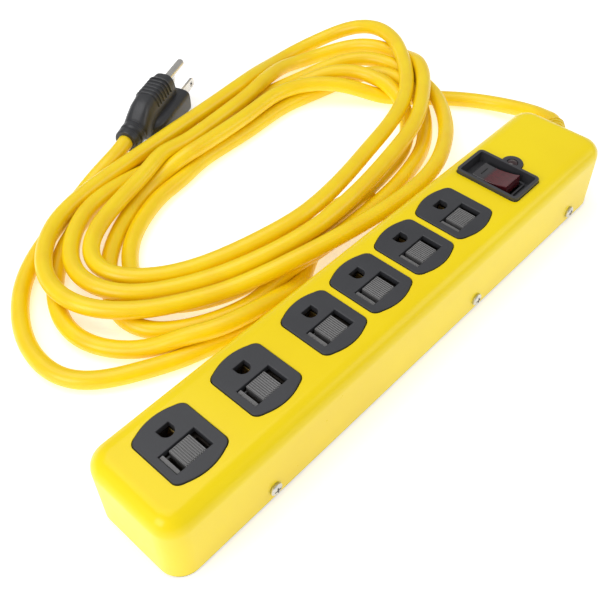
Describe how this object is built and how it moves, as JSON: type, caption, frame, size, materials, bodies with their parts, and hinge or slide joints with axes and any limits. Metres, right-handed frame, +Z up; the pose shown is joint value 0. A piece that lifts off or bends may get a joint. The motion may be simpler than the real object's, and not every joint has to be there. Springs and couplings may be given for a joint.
{
  "type": "power strip",
  "caption": "Yellow power strip with a row of grounded outlets under sliding safety covers, a rocker switch, and a coiled cord with a plug.",
  "frame": {"origin": "centre of the strip's underside, on the surface it stands on", "axes": "+X along the strip towards the end where the cord leaves, +Y towards the coiled cord, +Z up"},
  "size_m": [0.353, 0.2448, 0.0395],
  "materials": {
    "yellow_shell": "moulded bright yellow, satin",
    "relief_plastic": "soft yellow sleeve",
    "base_steel": "black painted steel sheet",
    "screw_steel": "nickel plated",
    "face_plastic": "charcoal, fine texture",
    "cover_plastic": "mid grey, ribbed",
    "carrier_plastic": "brown phenolic",
    "switch_plastic": "black",
    "contact_brass": "rolled brass strip",
    "rocker_plastic": "smoked translucent red",
    "lamp_glass": "neon lamp glass",
    "board_green": "circuit board",
    "varistor_blue": "dipped blue coating",
    "fuse_white": "white sleeve",
    "wire_black": "insulation",
    "wire_white": "insulation",
    "wire_green": "insulation",
    "cord_jacket": "yellow vinyl jacket, satin",
    "plug_plastic": "black moulded vinyl",
    "blade_nickel": "nickel plated"
  },
  "bodies": {
    "root": {"housing": "yellow_shell", "strain_relief": "relief_plastic", "base_plate": "base_steel", "side_screw_front_1": "screw_steel", "side_screw_front_2": "screw_steel", "side_screw_front_3": "screw_steel", "side_screw_rear_1": "screw_steel", "side_screw_rear_2": "screw_steel", "side_screw_rear_3": "screw_steel", "ground_bond_screw": "screw_steel", "rocker_pivot_pin": "screw_steel", "outlet_face_1": "face_plastic", "outlet_face_2": "face_plastic", "outlet_face_3": "face_plastic", "outlet_face_4": "face_plastic", "outlet_face_5": "face_plastic", "outlet_face_6": "face_plastic", "switch_bezel": "face_plastic", "outlet_carrier": "carrier_plastic", "switch_body": "switch_plastic", "line_bus_bar": "contact_brass", "neutral_bus_bar": "contact_brass", "ground_bus_bar": "contact_brass", "switch_line_terminal": "contact_brass", "switch_load_terminal": "contact_brass", "switch_contact_arm": "contact_brass", "indicator_lens": "rocker_plastic", "indicator_lamp": "lamp_glass", "surge_board": "board_green", "varistor_1": "varistor_blue", "varistor_2": "varistor_blue", "varistor_3": "varistor_blue", "thermal_fuse": "fuse_white", "line_wire": "wire_black", "switched_wire": "wire_black", "neutral_wire": "wire_white", "ground_wire": "wire_green", "cord_lead": "cord_jacket", "cord_coil": "cord_jacket", "cord_tail": "cord_jacket", "plug_body": "plug_plastic", "plug_line_blade": "blade_nickel", "plug_neutral_blade": "blade_nickel", "plug_ground_pin": "blade_nickel"},
    "cover_1": {"safety_cover_1": "cover_plastic"},
    "cover_2": {"safety_cover_2": "cover_plastic"},
    "cover_3": {"safety_cover_3": "cover_plastic"},
    "cover_4": {"safety_cover_4": "cover_plastic"},
    "cover_5": {"safety_cover_5": "cover_plastic"},
    "cover_6": {"safety_cover_6": "cover_plastic"},
    "rocker": {"rocker": "rocker_plastic"}
  },
  "joints": [
    {"name": "cover_1_slide", "type": "slide", "parent": "root", "child": "cover_1", "axis": [1, 0, 0], "range_m": [0, 0.0024]},
    {"name": "cover_2_slide", "type": "slide", "parent": "root", "child": "cover_2", "axis": [1, 0, 0], "range_m": [0, 0.0024]},
    {"name": "cover_3_slide", "type": "slide", "parent": "root", "child": "cover_3", "axis": [1, 0, 0], "range_m": [0, 0.0024]},
    {"name": "cover_4_slide", "type": "slide", "parent": "root", "child": "cover_4", "axis": [1, 0, 0], "range_m": [0, 0.0024]},
    {"name": "cover_5_slide", "type": "slide", "parent": "root", "child": "cover_5", "axis": [1, 0, 0], "range_m": [0, 0.0024]},
    {"name": "cover_6_slide", "type": "slide", "parent": "root", "child": "cover_6", "axis": [1, 0, 0], "range_m": [0, 0.0024]},
    {"name": "rocker_rock", "type": "hinge", "parent": "root", "child": "rocker", "pos_m": [0.086, 0.0005, 0.0301], "axis": [1, 0, 0], "range_deg": [0, 14]}
  ]
}
